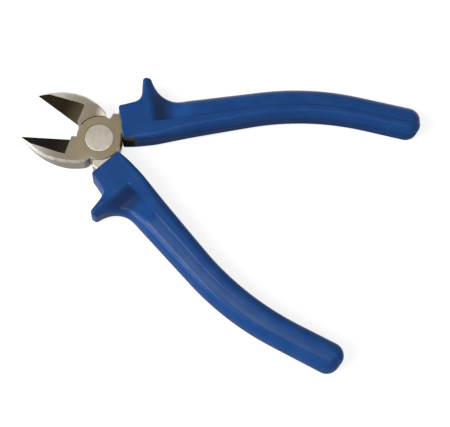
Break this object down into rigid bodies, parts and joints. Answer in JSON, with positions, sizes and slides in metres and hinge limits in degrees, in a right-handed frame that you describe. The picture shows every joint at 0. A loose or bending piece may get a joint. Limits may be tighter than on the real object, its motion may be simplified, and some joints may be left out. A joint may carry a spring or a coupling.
{
  "type": "wire cutter",
  "caption": "Diagonal side cutter with lap-jointed steel jaws, flush rivet and curved plastic handle sleeves with thumb guards.",
  "frame": {"origin": "on the rivet's axis at the joint's back face, tool open as pictured", "axes": "+X along the tool's middle line towards the handles, +Y towards the front lever's handle, +Z along the rivet's axis out of the joint's front face"},
  "size_m": [0.1529, 0.1172, 0.0125],
  "materials": {
    "lever_steel": "ground and satin polished, slightly toned, ground faces of the edges dark",
    "rivet_steel": "turned and polished flush",
    "sleeve_plastic": "satin moulded vinyl, fine grain"
  },
  "bodies": {
    "front_half": {"front_lever": "lever_steel", "rivet": "rivet_steel", "front_sleeve": "sleeve_plastic"},
    "rear_half": {"rear_lever": "lever_steel", "rear_sleeve": "sleeve_plastic"}
  },
  "joints": [
    {"name": "jaw_pivot", "type": "hinge", "parent": "front_half", "child": "rear_half", "pos_m": [0, 0, 0.005], "axis": [0, 0, 1], "range_deg": [-8, 34]}
  ]
}
